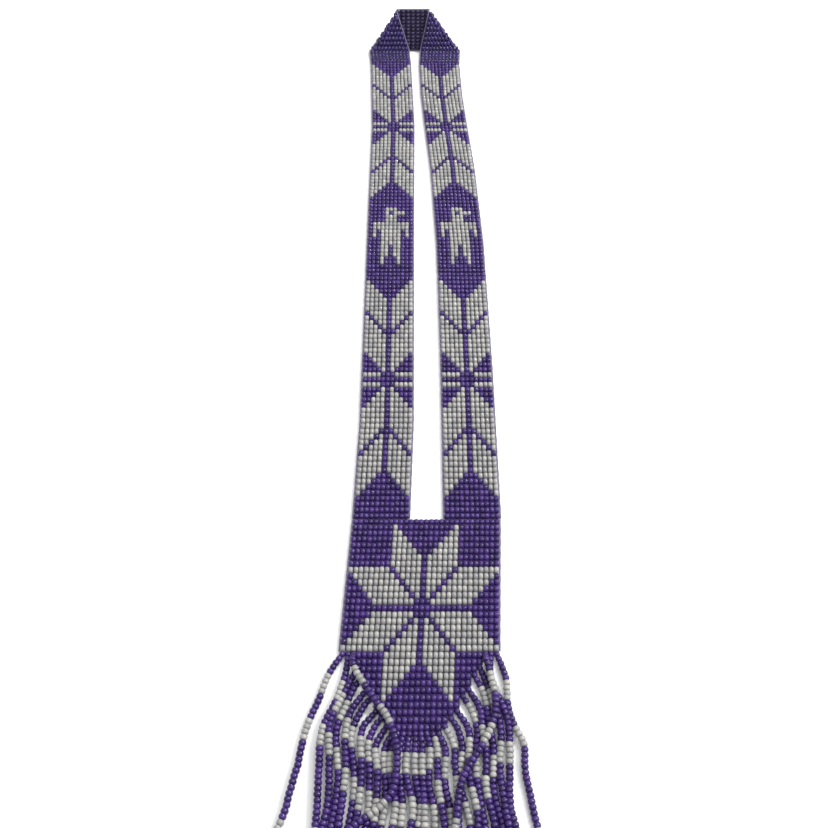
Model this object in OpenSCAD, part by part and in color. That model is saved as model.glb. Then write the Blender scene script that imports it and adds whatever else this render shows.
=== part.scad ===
// Loom-woven bead necklace, lying face up: a pendant panel on two straps that meet in a neck band behind
// the neck, with a fringe of bead strands. Millimetres, +Z up, the fringe toward -Y. Every weave row is a
// row of beads on its own weft thread across X, so a row is drawn as one round bar per run of one colour.

/* [Beads] */
// Width of one bead along its hole, which is one column of the weave
column_pitch = 1.6; // [1.5:0.05:1.7]
// Diameter of a woven bead
bead_d = 2.1; // [1.9:0.05:2.12]
// Diameter of a fringe strand
strand_d = 2; // [1.8:0.05:2]
// Diameter of the edge thread
thread_d = 0.5; // [0.3:0.05:0.5]

/* [Weave] */
// Row spacing of the panel, the bird fields and the shoulders
row_pitch = 2.2; // [2.18:0.01:2.24]
// Row spacing of the lower feathers
lower_feather_pitch = 2.3; // [2.2:0.01:2.32]
// Row spacing of the upper feathers, pulled tighter toward the neck
upper_feather_pitch = 2.15; // [2.15:0.01:2.2]

/* [Fringe] */
// Length of a fringe strand
strand_length = 80; // [70:1:84]
// Radius of a strand where it leaves the weave
root_r = 0.55; // [0.45:0.05:0.6]

/* [Neck band] */
// Angle that the collars lean up at from the table
lean = 52; // [45:1:60]
// Distance between the collars and the band folded behind them
fold_gap = 2.35; // [2.3:0.05:2.6]

/* [Hidden] */
$fn = 24;
bead_r = bead_d / 2;

// The origin is under the middle of the woven part, so the plan is moved by this much
plan_shift = [-2.9, -57.9, 0];

// Panel: rows count from -7 at the top edge to 24 at the tip, columns from -14 to 14 about the middle
PANEL_TOP = -7;
PANEL_STRAIGHT = 13;
PANEL_TIP = 24;
STAR_ROW = 7;
PANEL_HALF = 14;
panel_row_y = [for (row = [PANEL_TOP : PANEL_TIP]) -44.9 - row_pitch * (row - PANEL_TOP)];
function panel_y(row) = panel_row_y[row - PANEL_TOP];
// The panel leans a little to the left on its way down
function panel_x(y) = 3.9 + 0.052 * (max(y, -114) + 44.9);
// Half width in columns: straight sides, then a taper that loses seven columns in ten rows
function panel_half(row) = row <= PANEL_STRAIGHT ? PANEL_HALF : 11 - floor(0.7 * (row - 14));

// Straps: rows count from 1 next to the panel to 113 at the neck band, columns from -5 to 5
STRAP_HALF = 5;
BASE_ROWS = 4;
FEATHER_HALF = 21;
LOWER_FEATHER = BASE_ROWS + 1 + FEATHER_HALF;
BIRD_TOP = 66;
BIRD_FIELD_END = 69;
UPPER_FEATHER = BIRD_FIELD_END + 1 + FEATHER_HALF;
FOLD_ROW = 49;
STRAP_ROWS = 113;
strap_w = (2 * STRAP_HALF + 1) * column_pitch;
function strap_pitch(row) =
    abs(row - LOWER_FEATHER) <= FEATHER_HALF ? lower_feather_pitch :
    abs(row - UPPER_FEATHER) <= FEATHER_HALF ? upper_feather_pitch : row_pitch;
strap_row_y = [for (row = 0, y = panel_y(PANEL_TOP); row <= STRAP_ROWS;
    row = row + 1, y = y + (strap_pitch(row - 1) + strap_pitch(row)) / 2) y];
// Middle line of each strap in plan, as [y, x]
left_line = [[-45, -10.5], [-5, -9.3], [100, -9.2], [160, -9], [206, -10.6]];
right_line = [[-45, 18.5], [20, 18.6], [84, 18], [130, 16.1], [158, 14], [182, 12.3], [206, 11.6]];

// Weaving chart of the bird, one text row per bead row from its crest down
bird_chart = [
    "....XXX....",
    "....X.XXX..",
    "....XXX....",
    "....XXX....",
    ".XXXXXXXXX.",
    ".XXXXXXXXX.",
    ".X.XXXXX.X.",
    ".X.XXXXX.X.",
    "...XXXXX...",
    "...XXXXX...",
    "...XX.XX...",
    "...XX.XX...",
    "...XX.XX...",
    "...X...X...",
    "...X...X..."];

// Eight-pointed star: four side arms and four upright arms, each a slanted block of white beads
function star_white(rise, out) =
    (rise >= 1 && rise <= 6 && out >= rise + 1 && out <= rise + 8) ||
    (out >= 1 && out <= 6 && rise >= out + 1 && rise <= out + 7);
// Feather: a barred middle, then slanted blocks on both sides of the quill with a dark chevron between
function feather_white(rise, out) =
    (rise == 1 && out >= 2) ||
    (out >= 1 && ((rise >= out + 1 && rise <= out + 8) || (rise >= out + 10 && rise <= out + 16)));
function bird_white(row, column) =
    let (line = BIRD_TOP - row)
    line >= 0 && line < len(bird_chart) && bird_chart[line][column + STRAP_HALF] == "X";
function panel_white(row, column) = star_white(abs(row - STAR_ROW), abs(column));
function strap_white(row, column) =
    abs(row - LOWER_FEATHER) <= FEATHER_HALF ? feather_white(abs(row - LOWER_FEATHER), abs(column)) :
    abs(row - UPPER_FEATHER) <= FEATHER_HALF ? feather_white(abs(row - UPPER_FEATHER), abs(column)) :
    bird_white(row, column);

// Neck band: it bends up from the table and leans back as two collars. Each collar is folded over on a
// slanted crease, so the middle of the band runs behind them, wrong side to the front.
NECK_START = 208.05;
NECK_ROWS = 12;
BEND_Y = 213.2;
BEND_R = 5;
BEND_LENGTH = BEND_R * lean * PI / 180;
// A place on a collar: x, and the distance v along the band from the start of the bend
function collar_place(x, v) =
    let (a = min(lean, max(0, v / BEND_R * 180 / PI)), rest = max(0, v - BEND_LENGTH))
    [x,
        BEND_Y + min(0, v) + BEND_R * sin(a) + rest * cos(lean),
        bead_r + BEND_R * (1 - cos(a)) + rest * sin(lean)];
// A place on the band behind the collars: x, and the distance w up its slope from the table
SLOPE_Y = BEND_Y + BEND_R * (sin(lean) - (1 - cos(lean)) / tan(lean));
function behind_place(x, w) =
    [x, SLOPE_Y + w * cos(lean) + fold_gap * sin(lean), bead_r + w * sin(lean) - fold_gap * cos(lean)];
CREASE_LOW = 3;
CREASE_HIGH = 20.1;
BEHIND_LOW = 1.35;
BEHIND_ROWS = 18;
BEHIND_PITCH = 2.25;
BEHIND_FIRST = -18.7;
// Inner edge of each collar as [v, x], and the x of its crease low and high
left_inner = [[-7.65, -1.8], [3, -2.6], [20.1, -8.3]];
right_inner = [[-7.65, 2.8], [3, 3.3], [20.1, 7.2]];
left_crease = [-20.2, -8.3];
right_crease = [21, 8];
function crease_x(crease, v) =
    crease[0] + (crease[1] - crease[0]) * (v - CREASE_LOW) / (CREASE_HIGH - CREASE_LOW);
// How far up its slope a row behind the collars reaches before it comes to a crease
function crease_w(crease, x) =
    (x - crease[0]) / (crease[1] - crease[0]) * (CREASE_HIGH - CREASE_LOW) - 0.3;
function behind_high(x) =
    min(BEHIND_LOW + strap_w, crease_w(left_crease, x), crease_w(right_crease, x));

// Fringe: one strand per column, counted from -14 to 14, tied in under the last row woven in its column
function last_row(column) =
    max([for (row = [PANEL_STRAIGHT : PANEL_TIP]) if (panel_half(row) >= abs(column)) row]);
function root_y(column) = panel_y(last_row(column));
function root_x(column) = panel_x(root_y(column)) + column * column_pitch;
strand_z = 1.05;
// Strands that lie over their neighbours or swing clear of the fringe, as [x, y, z] after the root
special_routes = [
    [-14, [[-23.5, -95, 1.1], [-25.5, -99, 1.1], [-27, -104, 1.1], [-28.5, -110, 1.1], [-30, -116, 1.1],
        [-31.5, -122, 1.1], [-33, -129, 1.1], [-34.5, -136, 1.1], [-37, -143, 1.1], [-38.5, -150, 1.1],
        [-38, -157, 1.1], [-36.5, -163, 1.1]]],
    [-12, [[-17.7, -93.6, 3.2], [-17, -96, 3.4], [-14.5, -101, 3.4], [-11.5, -105.5, 3.4], [-8, -110.5, 3.4],
        [-5.5, -117, 3.4], [-4, -124, 3.4], [-5, -131, 3.4], [-10, -136.5, 3.4], [-15.5, -140.5, 3.4],
        [-19.5, -145, 3.4], [-21.5, -151, 3.4], [-21, -157, 3.4]]],
    [12, [[20.9, -93.6, 3.2], [21.5, -95.5, 3.4], [22.3, -101, 3.4], [22.4, -107, 3.4], [21.5, -113, 3.4],
        [19, -118, 3.4], [16, -123, 3.4], [13.7, -128, 3.4], [12, -135, 3.4], [10.5, -141, 3.4],
        [9, -147, 3.4], [8.5, -154, 3.4], [9.5, -161, 3.4]]],
    [14, [[25.5, -95, 1.1], [26.5, -100, 1.1], [27, -106, 1.1], [28, -112, 1.1], [30, -118, 1.1],
        [30, -124, 1.1], [30.5, -130, 1.1], [31.5, -137, 1.1], [33.5, -143, 1.1], [34.5, -150, 1.1],
        [34, -157, 1.1], [33, -164, 1.1]]]];
SPREAD_START = -91;
SPREAD_DROP = 24;
SPREAD_PITCH = 2.17;
// The strands that hang side by side: they fan out from the weave to their own width and sway together
function fan_place(column) = abs(column) == 13 ? sign(column) * 12 : column;
function fan_pitch(y) =
    column_pitch + (SPREAD_PITCH - column_pitch) * min(1, max(0, (SPREAD_START - y) / SPREAD_DROP));
function sway(place, y) =
    y > -112 ? 0 : 0.9 * (1 - cos(min(90, 4 * (-112 - y)))) * sin(11 * (y + 112) + 8 * place);
function fan_x(column, y) = panel_x(y) + fan_place(column) * fan_pitch(y) + sway(fan_place(column), y);
SETTLE = 7;
function side_x(column, y) =
    let (t = min(1, (root_y(column) - y) / SETTLE))
    (1 - t) * root_x(column) + t * fan_x(column, y);
RING_STEP = 5.5;
ROOT_GAP = 0.45;
// Side strands share the heights of their rings, so that neighbours run side by side
function side_heights(column) = concat(
    [for (y = [SPREAD_START : -RING_STEP : SPREAD_START - 120])
        if (y < root_y(column) - 4 && y > root_y(column) - strand_length + 2) y],
    [root_y(column) - strand_length]);
function side_route(column) = [for (y = side_heights(column)) [side_x(column, y), y, strand_z]];
function special(column) = [for (route = special_routes) if (route[0] == column) route[1]];
function strand_route(column) = concat(
    [[root_x(column), root_y(column) - bead_r - ROOT_GAP, strand_z]],
    len(special(column)) > 0 ? special(column)[0] : side_route(column));
// The side strands are as slim as their neighbours leave them room for
function strand_r(column, i, y) =
    i == 0 ? root_r :
    len(special(column)) > 0 ? (i == 1 ? 0.8 : strand_d / 2) :
    min(strand_d / 2, fan_pitch(y) / 2 - 0.15);

// Sweeps a round section along a route: the first ring is slimmer, where the strand leaves the weave
function unit(v) = v / norm(v);
function run_direction(route, i) = unit(route[min(i + 1, len(route) - 1)] - route[max(i - 1, 0)]);
function ring(centre, direction, r, sides) =
    let (side = unit(cross(direction, [0, 0, 1])), up = cross(side, direction))
    [for (i = [0 : sides - 1]) centre + r * (cos(360 * i / sides) * side + sin(360 * i / sides) * up)];
module tube(route, radii, sides = 8) {
    last = len(route) - 1;
    points = [for (i = [0 : last], p = ring(route[i], run_direction(route, i), radii[i], sides)) p];
    walls = [for (i = [0 : last - 1], j = [0 : sides - 1], half = [0, 1])
        let (a = i * sides + j, b = i * sides + (j + 1) % sides)
        half == 0 ? [a, b, b + sides] : [a, b + sides, a + sides]];
    caps = [[for (j = [sides - 1 : -1 : 0]) j], [for (j = [0 : sides - 1]) last * sides + j]];
    polyhedron(points, concat(walls, caps));
}

// One round bar for each run of one colour in a row
module row_runs(centre, half, is_white, want_white) {
    for (first = [-half : half])
        if (is_white[first + half] == want_white
            && (first == -half || is_white[first + half - 1] != want_white)) {
            run = [for (last = first; last <= half && is_white[last + half] == want_white; last = last + 1)
                last];
            translate(centre + [(first - 0.5) * column_pitch, 0, 0])
                rotate([0, 90, 0])
                    cylinder(d = bead_d, h = len(run) * column_pitch - 0.05);
        }
}

// A tie from row to row stands for the warp threads beside a column. It ends inside the bars it joins.
TIE_W = 0.8;
TIE_H = 0.6;
TIE_IN = 0.5;
module tie(low, high)
    translate([(low[0] + high[0] - TIE_W) / 2, low[1] + TIE_IN, bead_r - TIE_H / 2])
        cube([TIE_W, high[1] - low[1] - 2 * TIE_IN, TIE_H]);

module panel_beads(want_white) {
    for (row = [PANEL_TOP : PANEL_TIP]) {
        half = panel_half(row);
        white = [for (column = [-half : half]) panel_white(row, column)];
        row_runs([panel_x(panel_y(row)), panel_y(row), bead_r], half, white, want_white);
    }
}

module strap_beads(line, first, last, want_white) {
    for (row = [first : last]) {
        white = [for (column = [-STRAP_HALF : STRAP_HALF]) strap_white(row, column)];
        centre = [lookup(strap_row_y[row], line), strap_row_y[row], bead_r];
        row_runs(centre, STRAP_HALF, white, want_white);
    }
}

// Ties run up a column that is purple in every row: the middle one, or both edges beside a bird
function panel_place(row) = [panel_x(panel_y(row)), panel_y(row)];
module panel_ties()
    for (row = [PANEL_TOP : PANEL_TIP - 1])
        tie(panel_place(row + 1), panel_place(row));
function strap_place(line, row, column) =
    [lookup(strap_row_y[row], line) + column * column_pitch, strap_row_y[row]];
function beside_bird(row) = row >= BIRD_TOP - len(bird_chart) && row <= BIRD_TOP;
module strap_ties(line, first, last)
    for (row = [first : last - 1])
        for (column = beside_bird(row) ? [-STRAP_HALF, STRAP_HALF] : [0])
            tie(strap_place(line, row, column), strap_place(line, row + 1, column));

// Doubled edge threads that close the rows of a band on both sides
module edge_threads(places, half_w) {
    for (side = [-1, 1])
        tube([for (p = places) [p[1] + side * (half_w + thread_d / 2 + 0.03), p[0], bead_r]],
            [for (p = places) thread_d / 2], 6);
}
function places_between(line, low, high) = concat(
    [[low, lookup(low, line)]],
    [for (p = line) if (p[0] > low + 1 && p[0] < high - 1) p],
    [[high, lookup(high, line)]]);

purple = "#46288c";
white_bead = "#c8c8be";
thread = "#8d86a0";

module at_plan() translate(plan_shift) children();
module panel_purple() color(purple) at_plan() {
    panel_beads(false);
    panel_ties();
}
module panel_star() color(white_bead) at_plan() panel_beads(true);
module panel_threads() color(thread) at_plan()
    edge_threads([for (row = [PANEL_TOP, PANEL_STRAIGHT]) [panel_y(row), panel_x(panel_y(row))]],
        (PANEL_HALF + 0.5) * column_pitch);
module strap_part(line, first, last, want_white) color(want_white ? white_bead : purple) at_plan() {
    strap_beads(line, first, last, want_white);
    if (!want_white)
        strap_ties(line, first, last);
}
module lower_strap(line, want_white) strap_part(line, 1, FOLD_ROW, want_white);
module upper_strap(line, want_white) strap_part(line, FOLD_ROW + 1, STRAP_ROWS, want_white);
module strap_threads(line, first, last)
    color(thread) at_plan()
    edge_threads(places_between(line, strap_row_y[first], strap_row_y[last]), strap_w / 2);
module collar_rows(side, inner, crease) {
    for (i = [0 : NECK_ROWS - 1]) {
        v = NECK_START - BEND_Y + i * row_pitch;
        inner_x = lookup(v, inner);
        reach = v < CREASE_LOW ? strap_w : min(strap_w, side * (crease_x(crease, v) - inner_x));
        translate(collar_place(side < 0 ? inner_x - reach : inner_x, v))
            rotate([0, 90, 0])
                cylinder(d = bead_d, h = reach);
    }
}
module neck_band() color(purple) at_plan() {
    collar_rows(-1, left_inner, left_crease);
    collar_rows(1, right_inner, right_crease);
    for (i = [0 : BEHIND_ROWS - 1]) {
        x = BEHIND_FIRST + i * BEHIND_PITCH;
        if (behind_high(x) > BEHIND_LOW + 1)
            translate(behind_place(x, BEHIND_LOW))
                rotate([lean - 90, 0, 0])
                    cylinder(d = bead_d, h = behind_high(x) - BEHIND_LOW);
    }
}
// The inner thread runs up one collar, along the top behind and down the other, and the outer one below it
EDGE_OUT = thread_d / 2 + 0.03;
// It stands further off where the collars' edges run aslant
function edge_out(v) = EDGE_OUT + (v < CREASE_LOW ? 0.1 : 0.42);
BEND_STEPS = [-6.5, 0, 1.5, 3];
module neck_threads() color(thread) at_plan() {
    inner = concat(
        [for (v = concat(BEND_STEPS, [4.6, 20])) collar_place(lookup(v, left_inner) + edge_out(v), v)],
        [for (x = [-7.6, 7]) behind_place(x, BEHIND_LOW + strap_w + EDGE_OUT)],
        [for (v = [20, 4.6, 3, 1.5, 0, -6.5]) collar_place(lookup(v, right_inner) - edge_out(v), v)]);
    outer = concat(
        [for (v = BEND_STEPS) collar_place(lookup(v, left_inner) - strap_w - edge_out(0), v)],
        [for (x = [-20, 21]) behind_place(x, BEHIND_LOW - EDGE_OUT)],
        [for (v = [3, 1.5, 0, -6.5]) collar_place(lookup(v, right_inner) + strap_w + edge_out(0), v)]);
    tube(inner, [for (p = inner) thread_d / 2], 6);
    tube(outer, [for (p = outer) thread_d / 2], 6);
}
module strand(column) color(purple) at_plan() {
    route = strand_route(column);
    tube(route, [for (i = [0 : len(route) - 1]) strand_r(column, i, route[i][1])]);
}

function strand_name(column) = str("strand_", column < 0 ? "left_" : column > 0 ? "right_" : "middle",
    column == 0 ? "" : str(abs(column)));

panel_purple();  // panel_purple_beads
panel_star();  // panel_star_beads
panel_threads();  // panel_edge_threads
lower_strap(left_line, false);  // left_lower_strap_purple_beads
lower_strap(left_line, true);  // left_lower_strap_white_beads
strap_threads(left_line, 1, FOLD_ROW);  // left_lower_strap_edge_threads
lower_strap(right_line, false);  // right_lower_strap_purple_beads
lower_strap(right_line, true);  // right_lower_strap_white_beads
strap_threads(right_line, 1, FOLD_ROW);  // right_lower_strap_edge_threads
upper_strap(left_line, false);  // left_upper_strap_purple_beads
upper_strap(left_line, true);  // left_upper_strap_white_beads
strap_threads(left_line, FOLD_ROW + 1, STRAP_ROWS);  // left_upper_strap_edge_threads
upper_strap(right_line, false);  // right_upper_strap_purple_beads
upper_strap(right_line, true);  // right_upper_strap_white_beads
strap_threads(right_line, FOLD_ROW + 1, STRAP_ROWS);  // right_upper_strap_edge_threads
neck_band();  // neck_band_beads
neck_threads();  // neck_band_edge_threads
for (column = [-PANEL_HALF : PANEL_HALF])
    strand(column);
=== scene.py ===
import math

import bpy
import numpy as np
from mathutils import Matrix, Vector


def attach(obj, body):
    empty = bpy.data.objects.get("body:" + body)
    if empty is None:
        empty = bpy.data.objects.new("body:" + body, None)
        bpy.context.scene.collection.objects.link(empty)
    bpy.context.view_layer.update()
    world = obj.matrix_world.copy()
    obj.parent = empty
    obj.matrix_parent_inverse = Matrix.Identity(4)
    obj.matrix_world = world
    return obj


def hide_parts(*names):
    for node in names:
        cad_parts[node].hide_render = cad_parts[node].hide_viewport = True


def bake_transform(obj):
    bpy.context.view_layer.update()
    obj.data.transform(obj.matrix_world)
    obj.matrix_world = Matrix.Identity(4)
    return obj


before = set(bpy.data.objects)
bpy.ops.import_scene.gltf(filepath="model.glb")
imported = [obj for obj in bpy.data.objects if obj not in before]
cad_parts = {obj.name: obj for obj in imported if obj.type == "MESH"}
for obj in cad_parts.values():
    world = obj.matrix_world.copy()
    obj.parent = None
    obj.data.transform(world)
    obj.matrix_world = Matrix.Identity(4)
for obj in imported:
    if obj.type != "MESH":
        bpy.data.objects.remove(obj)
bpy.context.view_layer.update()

MM = 0.001
rng = np.random.default_rng(11)

# ---------------------------------------------------------------- beads and thread, in millimetres
COLUMN = 1.6          # one bead wide, along its hole
BEAD_R = 1.05         # the solids' bead, and the height of a bead's middle when it lies on the table
FOLD_ROW_R = 1.03     # rows beside a fold are slim, so that they clear each other as it turns
WHITE_R, WHITE_LENGTH = 1.12, 1.42
PURPLE_R, PURPLE_LENGTH = 1.2, 1.6     # drawn full, so that the purple ground closes up
STRUNG_R, STRUNG_LENGTH, STRUNG_GAP = 1.14, 1.56, 0.02
WARP_R = 0.13
EDGE_WARP_R = 0.16
WEFT_R = 0.11
CORE_R = 0.22         # the thread inside a fringe strand
WARP_END = 0.9        # how far the warps run on past the first and the last row
TUBE_SIDES = 6
TABLE_MIDDLE = (-2.9, -57.9)   # the plan below is moved by this, as the solids are

# ---------------------------------------------------------------- the weave
ROW_PITCH = 2.2
LOWER_FEATHER_PITCH = 2.3
UPPER_FEATHER_PITCH = 2.15
PANEL_TOP, PANEL_STRAIGHT, PANEL_TIP, STAR_ROW = -7, 13, 24, 7
PANEL_HALF, STRAP_HALF = 14, 5
BASE_ROWS, FEATHER_HALF = 4, 21
LOWER_FEATHER = BASE_ROWS + 1 + FEATHER_HALF
BIRD_TOP, BIRD_FIELD_END = 66, 69
UPPER_FEATHER = BIRD_FIELD_END + 1 + FEATHER_HALF
FOLD_ROW, STRAP_ROWS = 49, 113

# Middle line of each strap on the table, as (y, x)
STRAP_LINES = {
    "left": [(-45, -10.5), (-5, -9.3), (100, -9.2), (160, -9), (206, -10.6)],
    "right": [(-45, 18.5), (20, 18.6), (84, 18), (130, 16.1), (158, 14), (182, 12.3), (206, 11.6)],
}

BIRD_CHART = [
    "....XXX....",
    "....X.XXX..",
    "....XXX....",
    "....XXX....",
    ".XXXXXXXXX.",
    ".XXXXXXXXX.",
    ".X.XXXXX.X.",
    ".X.XXXXX.X.",
    "...XXXXX...",
    "...XXXXX...",
    "...XX.XX...",
    "...XX.XX...",
    "...XX.XX...",
    "...X...X...",
    "...X...X...",
]

# Strands that lie over their neighbours or swing clear of the fringe: column, then (x, y, z) after the root
SPECIAL_ROUTES = {
    -14: [(-23.5, -95, 1.1), (-25.5, -99, 1.1), (-27, -104, 1.1), (-28.5, -110, 1.1), (-30, -116, 1.1),
          (-31.5, -122, 1.1), (-33, -129, 1.1), (-34.5, -136, 1.1), (-37, -143, 1.1), (-38.5, -150, 1.1),
          (-38, -157, 1.1), (-36.5, -163, 1.1)],
    -12: [(-17.7, -93.6, 3.2), (-17, -96, 3.4), (-14.5, -101, 3.4), (-11.5, -105.5, 3.4), (-8, -110.5, 3.4),
          (-5.5, -117, 3.4), (-4, -124, 3.4), (-5, -131, 3.4), (-10, -136.5, 3.4), (-15.5, -140.5, 3.4),
          (-19.5, -145, 3.4), (-21.5, -151, 3.4), (-21, -157, 3.4)],
    12: [(20.9, -93.6, 3.2), (21.5, -95.5, 3.4), (22.3, -101, 3.4), (22.4, -107, 3.4), (21.5, -113, 3.4),
         (19, -118, 3.4), (16, -123, 3.4), (13.7, -128, 3.4), (12, -135, 3.4), (10.5, -141, 3.4),
         (9, -147, 3.4), (8.5, -154, 3.4), (9.5, -161, 3.4)],
    14: [(25.5, -95, 1.1), (26.5, -100, 1.1), (27, -106, 1.1), (28, -112, 1.1), (30, -118, 1.1),
         (30, -124, 1.1), (30.5, -130, 1.1), (31.5, -137, 1.1), (33.5, -143, 1.1), (34.5, -150, 1.1),
         (34, -157, 1.1), (33, -164, 1.1)],
}
# The fringe fans out from SPREAD_START over SPREAD_DROP, until its strands lie SPREAD_PITCH apart
SPREAD_START, SPREAD_DROP, SPREAD_PITCH = -91, 24, 2.17
SETTLE = 7            # how far a strand runs before it has left its own column for its place in the fan
ROUTE_STEP = 5.5
SWAY_START, SWAY = -112, 0.9
STRAND_LENGTH, ROOT_GAP = 80, 0.45
# Beads in the first and the second purple run of each strand, from column -14 to 14
FIRST_RUNS = [(5, 5), (6, 5), (4, 5), (6, 4), (6, 5), (7, 5), (7, 5), (6, 5), (5, 5), (5, 5), (4, 5), (4, 5),
              (4, 5), (4, 4), (4, 5), (4, 5), (3, 6), (1, 4), (5, 5), (1, 5), (7, 5), (6, 5), (2, 6), (8, 5),
              (3, 9), (5, 6), (5, 6), (5, 9), (6, 5)]
WHITE_RUN, THIRD_RUN = 4, 14


def panel_y(row):
    return -44.9 - ROW_PITCH * (row - PANEL_TOP)


def panel_x(y):
    return 3.9 + 0.052 * (max(y, -114) + 44.9)


def panel_half(row):
    """Half width in columns: straight sides, then a taper that takes seven columns off it in ten rows."""
    return PANEL_HALF if row <= PANEL_STRAIGHT else 11 - math.floor(0.7 * (row - 14) + 1e-9)


def strap_pitch(row):
    if abs(row - LOWER_FEATHER) <= FEATHER_HALF:
        return LOWER_FEATHER_PITCH
    return UPPER_FEATHER_PITCH if abs(row - UPPER_FEATHER) <= FEATHER_HALF else ROW_PITCH


STRAP_Y = [panel_y(PANEL_TOP)]
for strap_row in range(1, STRAP_ROWS + 1):
    STRAP_Y.append(STRAP_Y[-1] + (strap_pitch(strap_row - 1) + strap_pitch(strap_row)) / 2)


def strap_x(side, y):
    places = STRAP_LINES[side]
    return float(np.interp(y, [p[0] for p in places], [p[1] for p in places]))


def star_white(rise, out):
    """Whether a bead of the panel is white: rise rows and out columns from the middle of the star."""
    side_arm = 1 <= rise <= 6 and rise + 1 <= out <= rise + 8
    return side_arm or (1 <= out <= 6 and out + 1 <= rise <= out + 7)


def feather_white(rise, out):
    """Whether a bead of a strap is white: rise rows and out columns from the middle of its feather."""
    if rise == 1 and out >= 2:
        return True
    return out >= 1 and (out + 1 <= rise <= out + 8 or out + 10 <= rise <= out + 16)


def strap_white(row, column):
    for middle in (LOWER_FEATHER, UPPER_FEATHER):
        if abs(row - middle) <= FEATHER_HALF:
            return feather_white(abs(row - middle), abs(column))
    line = BIRD_TOP - row
    return 0 <= line < len(BIRD_CHART) and BIRD_CHART[line][column + STRAP_HALF] == "X"


# ---------------------------------------------------------------- shaders
def srgb(code):
    """A hex colour as linear red, green, blue and alpha."""
    parts = [int(code[i:i + 2], 16) / 255 for i in (1, 3, 5)]
    return [c / 12.92 if c <= 0.04045 else ((c + 0.055) / 1.055) ** 2.4 for c in parts] + [1.0]


def add(tree, kind, settings=None, inputs=None, links=None):
    """Adds a node with its settings, input values and links from other nodes' outputs."""
    made = tree.nodes.new(kind)
    for name, value in (settings or {}).items():
        setattr(made, name, value)
    for name, value in (inputs or {}).items():
        made.inputs[name].default_value = value
    for name, (source, output) in (links or {}).items():
        tree.links.new(source.outputs[output], made.inputs[name])
    return made


def ramp(tree, source, output, stops):
    made = add(tree, "ShaderNodeValToRGB", links={"Fac": (source, output)})
    for i, (place, code) in enumerate(stops):
        stop = made.color_ramp.elements[i] if i < 2 else made.color_ramp.elements.new(place)
        stop.position, stop.color = place, srgb(code)
    return made


def empty_material(name):
    material = bpy.data.materials.new(name)
    material.use_nodes = True
    tree = material.node_tree
    tree.nodes.clear()
    return material, tree


def bead_glass(name, tones, roughness, coat):
    """Seed-bead glass: cut from a drawn cane and tumbled hot, so that its edges melt round. That gives a
    glossy surface with a faint orange-peel, and each bead has a slightly different depth of colour."""
    material, tree = empty_material(name)
    place = add(tree, "ShaderNodeTexCoord")
    tone = add(tree, "ShaderNodeAttribute", {"attribute_name": "bead_tone"})
    # clouds in the glass about as wide as a bead, with detail down to a quarter of a millimetre
    cloud = add(tree, "ShaderNodeTexNoise", inputs={"Scale": 1 / (2.2 * MM), "Detail": 3.0, "Roughness": 0.6},
                links={"Vector": (place, "Object")})
    mixed = add(tree, "ShaderNodeMath", {"operation": "MULTIPLY_ADD"}, {1: 0.45, 2: -0.2},
                {0: (cloud, "Fac")})
    depth = add(tree, "ShaderNodeMath", {"operation": "ADD", "use_clamp": True},
                links={0: (tone, "Fac"), 1: (mixed, "Value")})
    colour = ramp(tree, depth, "Value", tones)
    # tumbled surface: an orange-peel with lumps of half a millimetre and less
    peel = add(tree, "ShaderNodeTexNoise", inputs={"Scale": 1 / (0.5 * MM), "Detail": 2.0},
               links={"Vector": (place, "Object")})
    bump = add(tree, "ShaderNodeBump", inputs={"Strength": 0.25, "Distance": 0.03 * MM},
               links={"Height": (peel, "Fac")})
    gloss = add(tree, "ShaderNodeMapRange", inputs={"To Min": roughness - 0.06, "To Max": roughness + 0.1},
                links={"Value": (peel, "Fac")})
    shader = add(tree, "ShaderNodeBsdfPrincipled",
                 inputs={"IOR": 1.5, "Specular IOR Level": 0.35,
                         "Coat Weight": coat, "Coat Roughness": 0.08, "Coat IOR": 1.5},
                 links={"Base Color": (colour, "Color"), "Roughness": (gloss, "Result"),
                        "Normal": (bump, "Normal")})
    add(tree, "ShaderNodeOutputMaterial", links={"Surface": (shader, "BSDF")})
    return material


def beading_thread(name, tones):
    """Waxed polyester beading thread: two plies twisted, matt, with the wax filling the twist in places."""
    material, tree = empty_material(name)
    place = add(tree, "ShaderNodeTexCoord")
    # ply twist, a turn every 0.7 mm along the thread
    twist = add(tree, "ShaderNodeTexWave", {"bands_direction": "DIAGONAL"},
                {"Scale": 1 / (1.1 * MM), "Distortion": 1.5, "Detail": 2.0}, {"Vector": (place, "Object")})
    wax = add(tree, "ShaderNodeTexNoise", inputs={"Scale": 1 / (3 * MM), "Detail": 3.0},
              links={"Vector": (place, "Object")})
    mixed = add(tree, "ShaderNodeMath", {"operation": "MULTIPLY"}, links={0: (twist, "Fac"), 1: (wax, "Fac")})
    colour = ramp(tree, mixed, "Value", tones)
    bump = add(tree, "ShaderNodeBump", inputs={"Strength": 0.6, "Distance": 0.05 * MM},
               links={"Height": (twist, "Fac")})
    rough = add(tree, "ShaderNodeMapRange", inputs={"To Min": 0.5, "To Max": 0.8},
                links={"Value": (wax, "Fac")})
    shader = add(tree, "ShaderNodeBsdfPrincipled", inputs={"IOR": 1.5, "Sheen Weight": 0.2},
                 links={"Base Color": (colour, "Color"), "Roughness": (rough, "Result"),
                        "Normal": (bump, "Normal")})
    add(tree, "ShaderNodeOutputMaterial", links={"Surface": (shader, "BSDF")})
    return material


PURPLE = bead_glass("purple_lustre_bead_glass",
                    [(0.0, "#241243"), (0.5, "#321e5c"), (1.0, "#432a70")], 0.18, 0.15)
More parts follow.
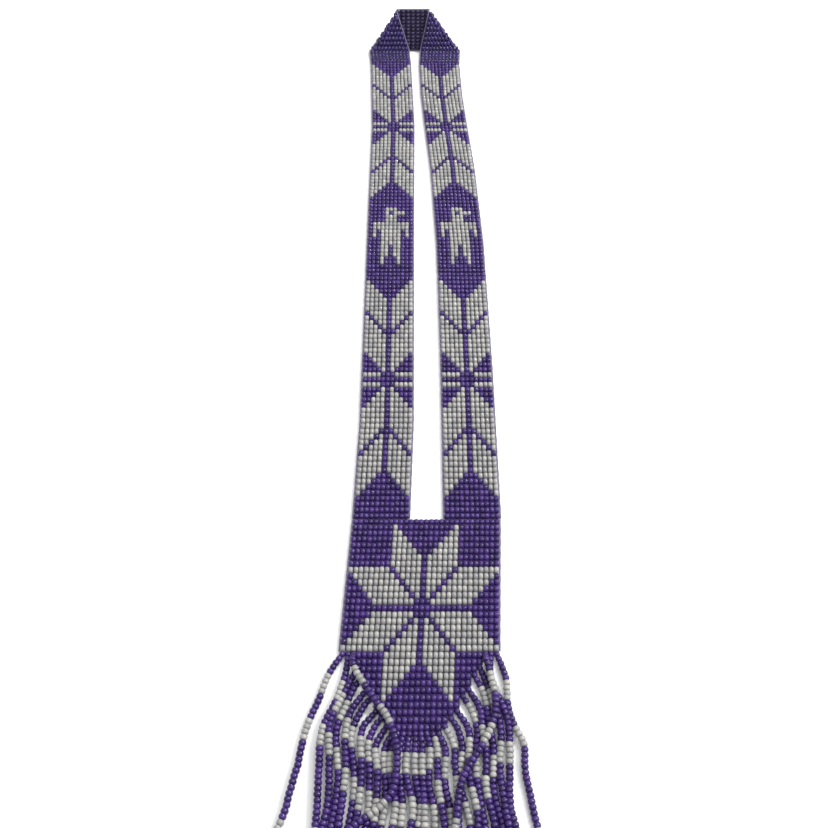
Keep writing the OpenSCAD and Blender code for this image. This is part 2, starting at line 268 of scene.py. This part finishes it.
# the neck band gets a darker copy of the same purple glass: painted shade where the band stands up off the
# table
NECK_PURPLE_PAINTED_SHADE = bead_glass("neck_purple_bead_glass_painted_shade",
                         [(0.0, "#1a0f39"), (0.5, "#261750"), (1.0, "#372469")], 0.16, 0.15)
# the side that lies against the neck: its darker colour is painted shadow, as it lies in the shade between
# the collars; it is also rougher and has no coat, so it is dull
INSIDE_PURPLE_PAINTED_SHADOW = bead_glass("inside_purple_bead_glass_painted_shadow",
                           [(0.0, "#150d26"), (0.5, "#201638"), (1.0, "#2e2248")], 0.42, 0)
PEARL = bead_glass("pearl_white_bead_glass",
                   [(0.0, "#7f7f82"), (0.5, "#929190"), (1.0, "#a9a8a3")], 0.26, 0.2)
THREAD = beading_thread("waxed_beading_thread", [(0.0, "#5a5170"), (0.5, "#7f7792"), (1.0, "#a39db0")])
# warps inside the weave are the same thread, painted dark as shade, since they lie down in the gaps between
# the beads
WARP_THREAD_PAINTED_SHADE = beading_thread("warp_beading_thread_painted_shade",
                                [(0.0, "#1e1830"), (0.5, "#2c2444"), (1.0, "#453b60")])


# ---------------------------------------------------------------- mesh work
def frame_point(x, y, z):
    """A place on the plan, in millimetres, as metres in the row frame."""
    return ((x + TABLE_MIDDLE[0]) * MM, (y + TABLE_MIDDLE[1]) * MM, z * MM)


def mesh_object(name, points, faces, material, tones=None):
    mesh = bpy.data.meshes.new(name)
    points = np.asarray(points, float)
    faces = np.asarray(faces, np.int32)
    shifted = (points + [TABLE_MIDDLE[0], TABLE_MIDDLE[1], 0]) * MM
    mesh.vertices.add(len(points))
    mesh.vertices.foreach_set("co", shifted.ravel())
    mesh.loops.add(faces.size)
    mesh.loops.foreach_set("vertex_index", faces.ravel())
    mesh.polygons.add(len(faces))
    mesh.polygons.foreach_set("loop_start", np.arange(0, faces.size, faces.shape[1], dtype=np.int32))
    mesh.polygons.foreach_set("use_smooth", np.ones(len(faces), bool))
    if tones is not None:
        attribute = mesh.attributes.new("bead_tone", "FLOAT", "POINT")
        attribute.data.foreach_set("value", np.asarray(tones, np.float32))
    mesh.update(calc_edges=True)
    mesh.validate()
    for m in material if isinstance(material, (list, tuple)) else [material]:
        mesh.materials.append(m)
    made = bpy.data.objects.new(name, mesh)
    bpy.context.scene.collection.objects.link(made)
    return made


SEGMENTS = 16         # faces round a bead
# Half section of a bead: (along the hole, from its axis), as shares of its length and radius
BEAD_SECTION = [(-0.5, 0.5), (-0.49, 0.65), (-0.41, 0.82), (-0.23, 0.955), (0, 1.0), (0.23, 0.955),
                (0.41, 0.82), (0.49, 0.65), (0.5, 0.5), (0.43, 0.4), (-0.43, 0.4)]


def bead_shape():
    around = np.arange(SEGMENTS) * 2 * math.pi / SEGMENTS
    points = [(a, r * math.cos(t), r * math.sin(t)) for a, r in BEAD_SECTION for t in around]
    rings = len(BEAD_SECTION)
    faces = []
    for i in range(rings):
        for j in range(SEGMENTS):
            k, n = (i + 1) % rings, (j + 1) % SEGMENTS
            faces.append((i * SEGMENTS + j, k * SEGMENTS + j, k * SEGMENTS + n, i * SEGMENTS + n))
    return np.array(points), np.array(faces)


SHAPE_POINTS, SHAPE_FACES = bead_shape()


def beads_mesh(placements):
    """Points, faces and tones of many beads. A placement is (centre, hole direction, length, radius)."""
    centres = np.array([p[0] for p in placements], float)
    along = np.array([p[1] for p in placements], float)
    along += rng.normal(0, 0.035, along.shape)
    along /= np.linalg.norm(along, axis=1)[:, None]
    helper = np.where(np.abs(along[:, 2:3]) < 0.9, [[0.0, 0.0, 1.0]], [[0.0, 1.0, 0.0]])
    side = np.cross(along, helper)
    side /= np.linalg.norm(side, axis=1)[:, None]
    up = np.cross(side, along)
    length = np.array([p[2] for p in placements]) * rng.uniform(0.94, 1.02, len(placements))
    radius = np.array([p[3] for p in placements]) * rng.uniform(0.955, 1.0, len(placements))
    centres = centres + rng.normal(0, 0.03, centres.shape)
    a, s, u = (SHAPE_POINTS[:, i] for i in range(3))
    points = (centres[:, None, :] + along[:, None, :] * (a[None, :] * length[:, None])[..., None]
              + side[:, None, :] * (s[None, :] * radius[:, None])[..., None]
              + up[:, None, :] * (u[None, :] * radius[:, None])[..., None]).reshape(-1, 3)
    points[:, 2] = np.maximum(points[:, 2], 0.0)
    starts = np.arange(len(placements)) * len(SHAPE_POINTS)
    faces = (SHAPE_FACES[None] + starts[:, None, None]).reshape(-1, 4)
    tones = np.repeat(rng.uniform(0.15, 0.85, len(placements)), len(SHAPE_POINTS))
    return points, faces, tones


def smooth_route(route, step=0.8):
    """A Catmull-Rom curve through the points, with about one point every step millimetres."""
    route = [np.array(p, float) for p in route]
    ends = [2 * route[0] - route[1]] + route + [2 * route[-1] - route[-2]]
    out = []
    for p0, p1, p2, p3 in zip(ends, ends[1:], ends[2:], ends[3:]):
        n = max(2, int(np.linalg.norm(p2 - p1) / step))
        for t in np.arange(n) / n:
            out.append(0.5 * (2 * p1 + (p2 - p0) * t + (2 * p0 - 5 * p1 + 4 * p2 - p3) * t * t
                              + (3 * p1 - p0 - 3 * p2 + p3) * t ** 3))
    return np.array(out + [route[-1]])


def tube_mesh(route, radius, sides=TUBE_SIDES):
    """A round thread along a route: points, quads, and a fan at each end drawn as thin quads."""
    route = np.asarray(route, float)
    direction = np.gradient(route, axis=0)
    direction /= np.linalg.norm(direction, axis=1)[:, None]
    helper = np.where(np.abs(direction[:, 2:3]) < 0.9, [[0.0, 0.0, 1.0]], [[0.0, 1.0, 0.0]])
    side = np.cross(direction, helper)
    side /= np.linalg.norm(side, axis=1)[:, None]
    up = np.cross(side, direction)
    t = np.arange(sides) * 2 * math.pi / sides
    ring = np.cos(t)[None, :, None] * side[:, None, :] + np.sin(t)[None, :, None] * up[:, None, :]
    points = (route[:, None, :] + radius * ring).reshape(-1, 3)
    last = (len(route) - 1) * sides
    faces = []
    for i in range(0, last, sides):
        for j in range(sides):
            n = (j + 1) % sides
            faces.append((i + j, i + n, i + sides + n, i + sides + j))
    for first in (0, last):
        for j in range(0, sides - 2, 2):
            cap = (first, first + j + 1, first + j + 2, first + (j + 3) % sides)
            faces.append(cap if first else cap[::-1])
    return points, np.array(faces)


def join_meshes(parts):
    points, faces, start = [], [], 0
    for p, f in parts:
        points.append(p)
        faces.append(np.asarray(f) + start)
        start += len(p)
    return np.concatenate(points), np.concatenate(faces)


# ---------------------------------------------------------------- camera
camera_data = bpy.data.cameras.new("camera")
camera_data.sensor_width = 36
camera_data.lens = 47.826
camera = bpy.data.objects.new("camera", camera_data)
bpy.context.scene.collection.objects.link(camera)
camera.location = frame_point(0, -237.3, 294.2)
looking = Vector(frame_point(0, 0, 0)) - camera.location
camera.rotation_euler = looking.to_track_quat("-Z", "Y").to_euler()
bpy.context.scene.camera = camera


# ---------------------------------------------------------------- fringe strands
def last_row(column):
    return max(row for row in range(PANEL_STRAIGHT, PANEL_TIP + 1) if panel_half(row) >= abs(column))


def root(column):
    y = panel_y(last_row(column))
    return panel_x(y) + column * COLUMN, y


def fan_place(column):
    """A strand's place in the fan: the last but one takes the place of the strand that crosses over."""
    return math.copysign(12, column) if abs(column) == 13 else column


def sway(place, y):
    """How far the lower part of a strand lies to the side of its straight line."""
    drop = SWAY_START - y
    if drop < 0:
        return 0
    eased = 1 - math.cos(math.radians(min(90, 4 * drop)))
    return SWAY * eased * math.sin(math.radians(8 * place - 11 * drop))


def side_x(column, y):
    place = fan_place(column)
    pitch = COLUMN + (SPREAD_PITCH - COLUMN) * min(1, max(0, (SPREAD_START - y) / SPREAD_DROP))
    fan = panel_x(y) + place * pitch + sway(place, y)
    root_x, root_y = root(column)
    t = min(1, (root_y - y) / SETTLE)
    return (1 - t) * root_x + t * fan


def strand_route(column):
    root_x, root_y = root(column)
    start = [(root_x, root_y - BEAD_R - ROOT_GAP, BEAD_R)]
    if column in SPECIAL_ROUTES:
        return start + SPECIAL_ROUTES[column]
    end = root_y - STRAND_LENGTH
    heights = [SPREAD_START - ROUTE_STEP * i for i in range(22)]
    heights = [y for y in heights if end + 2 < y < root_y - 4] + [end]
    return start + [(side_x(column, y), y, BEAD_R) for y in heights]


def strand_name(column):
    if column == 0:
        return "strand_middle"
    return f"strand_{'left' if column < 0 else 'right'}_{abs(column)}"


def strand_colours(column, count):
    """0 for purple and 1 for white, from the root down."""
    first, second = FIRST_RUNS[column + PANEL_HALF]
    runs = [first, WHITE_RUN, second, WHITE_RUN, THIRD_RUN, WHITE_RUN, count]
    return [i % 2 for i, run in enumerate(runs) for _ in range(run)][:count]


def along_route(path, distances):
    """Places at the distances along a path, and the path's length."""
    steps = np.linalg.norm(np.diff(path, axis=0), axis=1)
    run = np.concatenate([[0], np.cumsum(steps)])
    return np.stack([np.interp(distances, run, path[:, i]) for i in range(3)], 1), run[-1]


def tumbled(column, path):
    """A strand's path with its small wander, as it lies partly over and partly under its neighbours."""
    run = np.concatenate([[0], np.cumsum(np.linalg.norm(np.diff(path, axis=0), axis=1))])
    eased = np.clip((run - 3) / 12, 0, 1)
    first, second = rng.uniform(0, 2 * math.pi, 2)
    wander = 0.42 * np.sin(run / 6.5 + first) + 0.25 * np.sin(run / 3.1 + second)
    path = path.copy()
    path[:, 0] += eased * wander
    path[:, 2] += eased * (0.75 * (column % 2) + 0.3 * (1 + np.sin(run / 9 + second)))
    return path


def hang_strand(column):
    """One strand of the fringe: its beads and the thread inside them, attached to the strand's body."""
    path = tumbled(column, smooth_route(strand_route(column)))
    _, total = along_route(path, [0])
    count = round((total + ROOT_GAP) / (STRUNG_LENGTH + STRUNG_GAP))
    spacing = (total + ROOT_GAP) / count
    at = spacing * (np.arange(count) + 0.5) - ROOT_GAP
    middles, _ = along_route(path, at)
    ahead, _ = along_route(path, at + 0.4)
    behind, _ = along_route(path, at - 0.4)
    # the first beads are pushed in between their neighbours
    radii = np.interp(at, [0, 4, 14], [0.78, 0.92, 1.0]) * STRUNG_R
    placements = [(m, a - b, STRUNG_LENGTH, r) for m, a, b, r in zip(middles, ahead, behind, radii)]
    bead_points, bead_faces, tones = beads_mesh(placements)
    core = np.concatenate([[(*root(column), BEAD_R)], path])
    core_points, core_faces = tube_mesh(core[::2], CORE_R)
    points, faces = join_meshes([(bead_points, bead_faces), (core_points, core_faces)])
    strand = mesh_object("beads_of_" + strand_name(column), points, faces, [PURPLE, PEARL, THREAD],
                         np.concatenate([tones, np.full(len(core_points), 0.5)]))
    colours = strand_colours(column, count)
    slots = np.concatenate([np.repeat(colours, len(SHAPE_FACES)), np.full(len(core_faces), 2)])
    strand.data.polygons.foreach_set("material_index", slots.astype(np.int32))
    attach(strand, strand_name(column))
    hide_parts(strand_name(column))


for strand_column in range(-PANEL_HALF, PANEL_HALF + 1):
    hang_strand(strand_column)


# ---------------------------------------------------------------- woven rows
def row_beads(x, y, z, half, is_white, by_fold=False):
    """Placements of one woven row, split into purple and white."""
    split = {False: [], True: []}
    for column in range(-half, half + 1):
        white = bool(is_white(column))
        length, radius = (WHITE_LENGTH, WHITE_R) if white else (PURPLE_LENGTH, PURPLE_R)
        centre = (x + column * COLUMN, y, z)
        split[white].append((centre, (1, 0, 0), length, FOLD_ROW_R if by_fold else radius))
    return split


def bead_piece(name, placements, material, body, node):
    points, faces, tones = beads_mesh(placements)
    piece = mesh_object(name, points, faces, material, tones)
    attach(piece, body)
    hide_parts(node)


def band_threads(places):
    """Warps between the columns, the doubled edge warps, and the weft's turns at the row ends of a band.
    Places are (x, y, z, half width in columns) of its rows."""
    warps, edges = [], []
    widest = max(p[3] for p in places)
    for line in np.arange(-widest - 0.5, widest + 1):
        run = [(x + line * COLUMN, y, z) for x, y, z, half in places if half + 0.5 >= abs(line)]
        if len(run) < 2:
            continue
        run[0] = (run[0][0], run[0][1] - WARP_END, run[0][2])
        run[-1] = (run[-1][0], run[-1][1] + WARP_END, run[-1][2])
        outer = abs(line) == widest + 0.5
        (edges if outer else warps).append(tube_mesh(run, WARP_R))
        if outer:
            beside = [(x + math.copysign(0.3, line), y, z + 0.05) for x, y, z in run]
            edges.append(tube_mesh(beside, EDGE_WARP_R))
    for i, (low, high) in enumerate(zip(places, places[1:])):
        side = 1 if i % 2 else -1
        turn = []
        for (x, y, z, half), inwards in ((low, 0.25), (high, -0.25)):
            end = x + side * (half + 0.5) * COLUMN
            turn += [(end - side * 0.25, y, z), (end + side * 0.42, y + inwards, z + 0.12)]
        turn[2], turn[3] = turn[3], turn[2]
        edges.append(tube_mesh(turn, WEFT_R))
    return warps, edges


def thread_piece(name, tubes, body, node=None, material=THREAD):
    piece = mesh_object(name, *join_meshes(tubes), material)
    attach(piece, body)
    if node:
        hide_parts(node)
    return piece


def weave_panel():
    beads, places = {False: [], True: []}, []
    for row in range(PANEL_TIP, PANEL_TOP - 1, -1):
        place = (panel_x(panel_y(row)), panel_y(row), BEAD_R)
        places.append((*place, panel_half(row)))
        woven = row_beads(*place, panel_half(row),
                          lambda column: star_white(abs(row - STAR_ROW), abs(column)), row == PANEL_TOP)
        for white in (False, True):
            beads[white] += woven[white]
    bead_piece("panel_purple", beads[False], PURPLE, "panel", "panel_purple_beads")
    bead_piece("panel_star", beads[True], PEARL, "panel", "panel_star_beads")
    warps, edges = band_threads(places)
    thread_piece("panel_warps", warps, "panel", material=WARP_THREAD_PAINTED_SHADE)
    thread_piece("panel_edges", edges, "panel", "panel_edge_threads")


def weave_strap(side, level, first, last):
    beads, places = {False: [], True: []}, []
    for row in range(first, last + 1):
        place = (strap_x(side, STRAP_Y[row]), STRAP_Y[row], BEAD_R)
        places.append((*place, STRAP_HALF))
        woven = row_beads(*place, STRAP_HALF, lambda column: strap_white(row, column), row in (first, last))
        for white in (False, True):
            beads[white] += woven[white]
    name, body = f"{side}_{level}_strap", f"{level}_straps"
    bead_piece(f"{name}_purple", beads[False], PURPLE, body, f"{name}_purple_beads")
    bead_piece(f"{name}_white", beads[True], PEARL, body, f"{name}_white_beads")
    warps, edges = band_threads(places)
    thread_piece(f"{name}_warps", warps, body, material=WARP_THREAD_PAINTED_SHADE)
    thread_piece(f"{name}_edges", edges, body, f"{name}_edge_threads")


weave_panel()
for strap_side in ("left", "right"):
    weave_strap(strap_side, "lower", 1, FOLD_ROW)
    weave_strap(strap_side, "upper", FOLD_ROW + 1, STRAP_ROWS)

# ---------------------------------------------------------------- neck band
# Each strap bends up from the table into a collar that leans back, and a slanted crease folds the band
# over behind the collars. All places on it are in millimetres.
LEAN = math.radians(52)
FOLD_R = 2.35 / 2      # the crease's roll, out to the middle of the beads
NECK_START, NECK_ROWS, BEND_Y, BEND_R = 208.05, 12, 213.2, 5
BEND_LENGTH = BEND_R * LEAN
SLOPE_Y = BEND_Y + BEND_R * (math.sin(LEAN) - (1 - math.cos(LEAN)) / math.tan(LEAN))
SLOPE_START = BEND_LENGTH - BEND_R * (1 - math.cos(LEAN)) / math.sin(LEAN)
CREASE_LOW, CREASE_HIGH = 3, 20.1
HALF_ROLL = math.pi * FOLD_R / 2
BEHIND_LOW, BEHIND_ROWS, BEHIND_PITCH, BEHIND_FIRST = 1.35, 18, 2.25, -18.7
STRAP_COLUMNS = 2 * STRAP_HALF + 1
STRAP_W = STRAP_COLUMNS * COLUMN
FIRST_V = NECK_START - BEND_Y          # the first row of the neck band, still flat on the table
NECK_LENGTH, NECK_R, INSIDE_R = 1.62, 1.27, 1.29
CREASE_LENGTH, CREASE_R, CREASE_IN = 1.5, 1.0, 1.35
NECK_WARP_R, NECK_EDGE_R = 0.34, 0.25
EDGE_OUT, BEHIND_EDGE_OUT = 0.32, 0.28     # how far the edge threads lie outside the end beads
# Inner edge of each collar as (v, x), and the x of its crease low and high
COLLARS = {
    -1: ([(-7.65, -1.8), (3, -2.6), (20.1, -8.3)], (-20.2, -8.3)),
    1: ([(-7.65, 2.8), (3, 3.3), (20.1, 7.2)], (21, 8)),
}


def collar_place(x, v, under=0.0):
    """A place on a collar: x, the distance v along the band from the start of its bend, and the depth
    under the middle of its beads."""
    angle = min(LEAN, max(0, v / BEND_R))
    rest = max(0, v - BEND_LENGTH)
    along = min(0, v) + BEND_R * math.sin(angle) + rest * math.cos(LEAN)
    height = BEND_R * (1 - math.cos(angle)) + rest * math.sin(LEAN)
    return x, BEND_Y + along + under * math.sin(angle), BEAD_R + height - under * math.cos(angle)


def behind_place(x, w):
    """A place on the band behind the collars: x, and the distance w up its slope from the table."""
    return (x, SLOPE_Y + w * math.cos(LEAN) + 2 * FOLD_R * math.sin(LEAN),
            BEAD_R + w * math.sin(LEAN) - 2 * FOLD_R * math.cos(LEAN))


def inner_x(side, v):
    places = COLLARS[side][0]
    return float(np.interp(v, [p[0] for p in places], [p[1] for p in places]))


def beyond_crease(side, x, v):
    """How far a place lies beyond the collar's crease, and the direction across the crease."""
    low, high = COLLARS[side][1]
    long = math.hypot(high - low, CREASE_HIGH - CREASE_LOW)
    across = (side * (CREASE_HIGH - CREASE_LOW) / long, abs(high - low) / long)
    return (x - low) * across[0] + (v - CREASE_LOW) * across[1], across


def rolled(side, x, v):
    """A place on a collar that is carried round the roll of its crease, or None once it is behind."""
    beyond, across = beyond_crease(side, x, v)
    angle = (beyond + HALF_ROLL) / FOLD_R
    if angle <= 0:
        return collar_place(x, v)
    if angle > math.pi:
        return None
    back = -HALF_ROLL + FOLD_R * math.sin(angle) - beyond
    return collar_place(x + back * across[0], v + back * across[1], FOLD_R * (1 - math.cos(angle)))


def past_creases(x, w):
    """How far a place on the band behind lies beyond the nearer crease. It is below 0 between the two."""
    return max(beyond_crease(side, x, w + SLOPE_START)[0] for side in (-1, 1))


def collar_beads(side):
    placements = []
    for i in range(NECK_ROWS):
        v = FIRST_V + i * ROW_PITCH
        for column in range(STRAP_COLUMNS):
            x = inner_x(side, v) + side * (column + 0.5) * COLUMN
            ends = [rolled(side, x - 0.6, v), rolled(side, x + 0.6, v)]
            if None in ends:
                break
            ends = np.array(ends)
            radius = NECK_R if i else FOLD_ROW_R
            placements.append((ends.mean(axis=0), ends[1] - ends[0], NECK_LENGTH, radius))
    return placements


def crease_beads(side):
    """Beads between the rows that ride on the crease itself, with their holes along it."""
    placements = []
    low, high = COLLARS[side][1]
    for i in range(3, NECK_ROWS - 1):
        v = FIRST_V + (i + 0.5) * ROW_PITCH
        x = low + (high - low) * (v - CREASE_LOW) / (CREASE_HIGH - CREASE_LOW) - side * CREASE_IN
        ends = np.array([collar_place(x, v, 0.5), collar_place(x + (high - low) / 34, v + 0.5, 0.5)])
        placements.append((ends[0], ends[1] - ends[0], CREASE_LENGTH, CREASE_R))
    return placements


def collar_warps(side):
    """Two warps lie side by side between the columns, one in front of the weft and one behind it."""
    tubes = []
    for line in range(1, STRAP_COLUMNS):
        for under in (-0.45, 0.3):
            run = []
            for v in np.arange(FIRST_V - WARP_END, NECK_ROWS * ROW_PITCH, 0.8):
                x = inner_x(side, v) + side * line * COLUMN
                if beyond_crease(side, x, v)[0] > -HALF_ROLL:
                    break
                run.append(collar_place(x, v, under))
            if len(run) > 2:
                tubes.append(tube_mesh(run, NECK_WARP_R))
    return tubes


def inside_beads():
    placements = []
    uphill = np.array((0, math.cos(LEAN), math.sin(LEAN)))
    for i in range(BEHIND_ROWS):
        x = BEHIND_FIRST + i * BEHIND_PITCH
        for column in range(STRAP_COLUMNS):
            w = BEHIND_LOW + (column + 0.5) * COLUMN
            if past_creases(x, w) < -0.3:
                placements.append((behind_place(x, w), uphill, NECK_LENGTH, INSIDE_R))
    return placements


def inside_warps():
    tubes = []
    outward = np.array((0, math.sin(LEAN), -math.cos(LEAN)))
    for line in (0.1, *range(1, STRAP_COLUMNS), STRAP_COLUMNS - 0.05):
        w = BEHIND_LOW + line * COLUMN
        across = np.arange(BEHIND_FIRST, BEHIND_FIRST + BEHIND_ROWS * BEHIND_PITCH, 1.1)
        run = np.array([behind_place(x, w) for x in across if past_creases(x, w) < 0])
        for step in (-0.3, 0.45):
            tubes.append(tube_mesh(run + step * outward, NECK_WARP_R))
    return tubes


def neck_edge_threads():
    """The inner and the outer edge thread, each up one collar, along the band behind and down the other."""
    steps = [-6.5, -3, 0, 1.5, 3, 4.6, 8, 12, 16, 20]
    inner = [collar_place(inner_x(-1, v) + EDGE_OUT, v) for v in steps]
    inner += [behind_place(x, BEHIND_LOW + STRAP_W + BEHIND_EDGE_OUT) for x in (-7.6, -4, 0, 4, 7)]
    inner += [collar_place(inner_x(1, v) - EDGE_OUT, v) for v in steps[::-1]]
    outer = [collar_place(inner_x(-1, v) - STRAP_W - EDGE_OUT, v) for v in steps[:5]]
    outer += [behind_place(x, BEHIND_LOW - BEHIND_EDGE_OUT) for x in (-19.5, -10, 0, 10, 20.5)]
    outer += [collar_place(inner_x(1, v) + STRAP_W + EDGE_OUT, v) for v in steps[4::-1]]
    return [tube_mesh(smooth_route(edge), NECK_EDGE_R, 8) for edge in (inner, outer)]


collars = collar_beads(-1) + crease_beads(-1) + collar_beads(1) + crease_beads(1)
# the collars take the darker copy of the purple glass, as painted shade
bead_piece("neck_collars", collars, NECK_PURPLE_PAINTED_SHADE, "neck_band", "neck_band_beads")
# the band behind the collars takes the darker glass, as painted shadow
bead_piece("neck_inside", inside_beads(), INSIDE_PURPLE_PAINTED_SHADOW, "neck_band", "neck_band_beads")
thread_piece("neck_warps", collar_warps(-1) + collar_warps(1) + inside_warps(), "neck_band",
             material=WARP_THREAD_PAINTED_SHADE)
thread_piece("neck_edges", neck_edge_threads(), "neck_band", "neck_band_edge_threads")

# ---------------------------------------------------------------- warps across the three folds
def row_middle(side, row):
    """Middle of a strap's row."""
    return np.array([strap_x(side, STRAP_Y[row]), STRAP_Y[row], BEAD_R])


def cross_folds(side, sign):
    """The warps of one strap where they cross the three folds. They run straight between the rows on either
    side and belong to neither body.
    """
    panel_end = row_middle(side, 1) - [0, ROW_PITCH, 0]
    under_birds, above_fold = row_middle(side, FOLD_ROW), row_middle(side, FOLD_ROW + 1)
    neck_end = np.array([inner_x(sign, FIRST_V) + sign * STRAP_W / 2, NECK_START, BEAD_R])
    crossings = [
        ("at_panel", "panel", "lower_straps", panel_end, row_middle(side, 1)),
        ("at_birds", "lower_straps", "upper_straps", under_birds, above_fold),
        ("at_neck", "upper_straps", "neck_band", row_middle(side, STRAP_ROWS), neck_end),
    ]
    for fold, low_body, high_body, low, high in crossings:
        tubes = []
        for line in np.arange(-STRAP_HALF - 0.5, STRAP_HALF + 1):
            start = low + [line * COLUMN, 0, 0]
            tubes.append(tube_mesh([start + (high - low) * t for t in np.linspace(0.1, 0.9, 9)], WARP_R))
        crossing = mesh_object(f"{side}_warps_{fold}", *join_meshes(tubes), WARP_THREAD_PAINTED_SHADE)
        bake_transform(crossing)


cross_folds("left", -1)
cross_folds("right", 1)

# ---------------------------------------------------------------- table and light
bpy.ops.mesh.primitive_plane_add(size=6, location=(0, 0, 0))
table = bpy.context.object
table.name = "table"
table_paint, paint_tree = empty_material("pale_table_paint")
paint = add(paint_tree, "ShaderNodeBsdfPrincipled",
            inputs={"Base Color": (0.9, 0.9, 0.9, 1), "Roughness": 0.7})
add(paint_tree, "ShaderNodeOutputMaterial", links={"Surface": (paint, "BSDF")})
table.data.materials.append(table_paint)

world = bpy.data.worlds.new("studio")
bpy.context.scene.world = world
world.use_nodes = True
world.node_tree.nodes["Background"].inputs["Color"].default_value = (1, 1, 1, 1)
world.node_tree.nodes["Background"].inputs["Strength"].default_value = 0.55


def softbox(name, place, size, power):
    """A square lamp that points at the middle of the table."""
    lamp = bpy.data.lights.new(name, "AREA")
    lamp.shape, lamp.size, lamp.energy = "SQUARE", size, power
    holder = bpy.data.objects.new(name, lamp)
    bpy.context.scene.collection.objects.link(holder)
    holder.location = place
    holder.rotation_euler = (-Vector(place)).to_track_quat("-Z", "Y").to_euler()


softbox("window", (0.75, 0.05, 0.85), size=0.45, power=13)
softbox("ceiling", (-0.1, -0.3, 1.3), size=0.9, power=5)
softbox("lamp", (0.2, 0.45, 0.75), size=0.07, power=2.5)

bpy.context.scene.view_settings.view_transform = "Standard"
